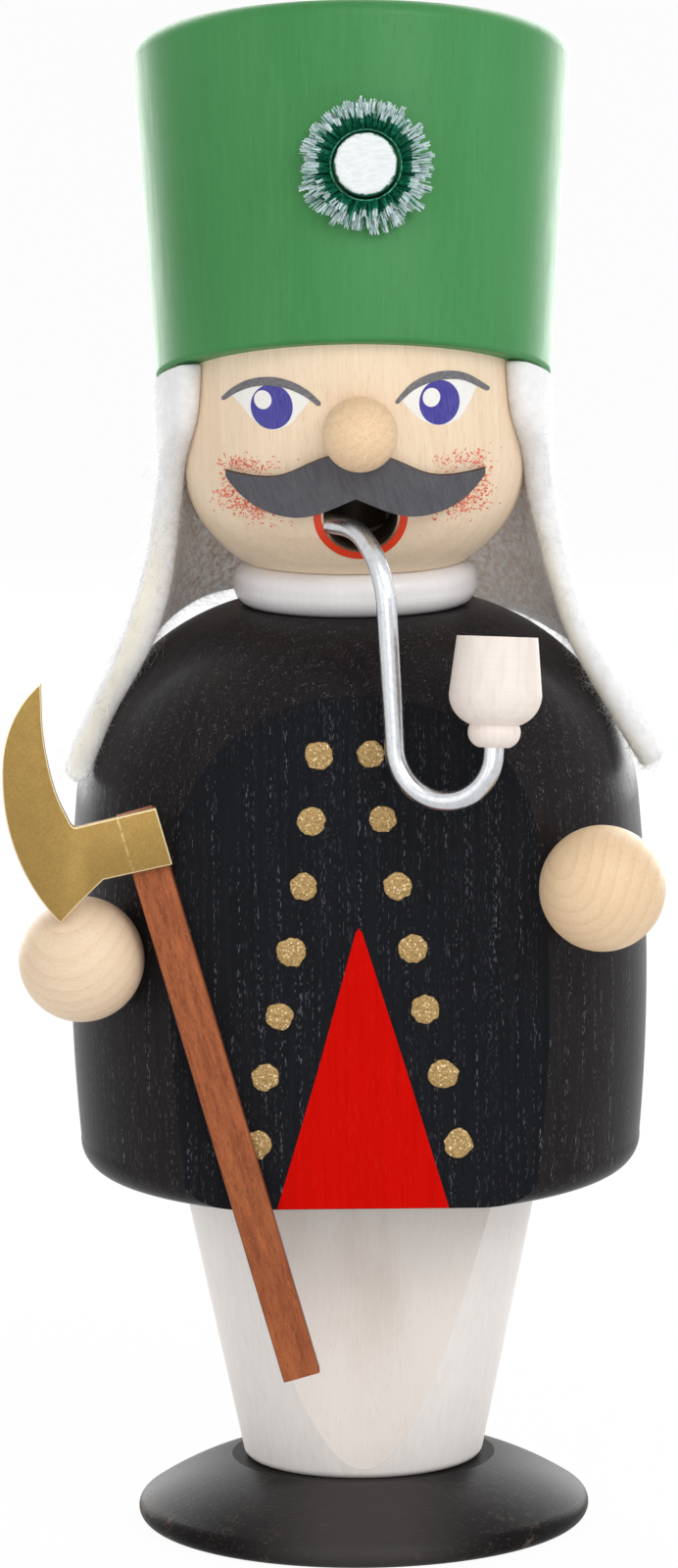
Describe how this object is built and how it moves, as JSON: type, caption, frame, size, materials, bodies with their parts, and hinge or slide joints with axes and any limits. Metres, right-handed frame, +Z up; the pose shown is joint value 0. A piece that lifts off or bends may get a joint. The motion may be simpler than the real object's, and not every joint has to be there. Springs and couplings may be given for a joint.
{
  "type": "incense smoker figure",
  "caption": "Turned wooden miner figure that lifts off its legs for an incense cone and lets the smoke out through its open mouth, with a wire pipe and an axe.",
  "frame": {"origin": "centre of the base's underside, on the turning axis of the body", "axes": "+Z up, the face looks along -Y, +X is the figure's left side"},
  "size_m": [0.0835, 0.0808, 0.1997],
  "materials": {
    "black_base": "satin lacquer over black stain",
    "white_wash": "thin matt whitewash, grain shows through",
    "plain_wood": "bare",
    "tray_brass": "pressed sheet",
    "nail_steel": "bright",
    "black_stain": "black stained open-pored ash, satin",
    "white_lacquer": "satin lacquer",
    "pale_wood": "clear matt lacquer",
    "green_lacquer": "satin green stain",
    "white_paint": "matt paint",
    "green_tinsel": "green foil strands with whitened tips",
    "slate_veneer": "dyed veneer, cut edges browned",
    "brown_wood": "matt mahogany stain",
    "gold_veneer": "matt gold paint with fine sparkle",
    "white_plush": "short napped plush",
    "bare_wire": "bright drawn",
    "bowl_wash": "matt whitewash",
    "face_paint": "brushed and printed paint",
    "red_paint": "brushed paint",
    "gold_glitter": "dabs of glitter paint"
  },
  "bodies": {
    "lower": {"base_plate": "black_base", "legs": "white_wash", "leg_dowel": "plain_wood", "cone_tray": "tray_brass", "tray_nail": "nail_steel"},
    "upper": {"coat": "black_stain", "collar_ring": "white_lacquer", "head": "pale_wood", "hat": "green_lacquer", "hat_dowel": "plain_wood", "rosette_disc": "white_paint", "rosette_tinsel": "green_tinsel", "nose": "pale_wood", "moustache": "slate_veneer", "right_hand": "pale_wood", "right_hand_dowel": "plain_wood", "left_hand": "pale_wood", "left_hand_dowel": "plain_wood", "axe_handle": "brown_wood", "axe_blade": "gold_veneer", "hair": "white_plush"},
    "pipe": {"pipe_stem": "bare_wire", "pipe_bowl": "bowl_wash"}
  },
  "joints": [
    {"name": "upper_lift", "type": "slide", "parent": "lower", "child": "upper", "axis": [0, 0, 1], "range_m": [0, 0.05]},
    {"name": "pipe_turn", "type": "hinge", "parent": "upper", "child": "pipe", "pos_m": [-0.0017, -0.02135, 0.13395], "axis": [0.6004, -0.7997, 0], "range_deg": [-30, 1]}
  ]
}
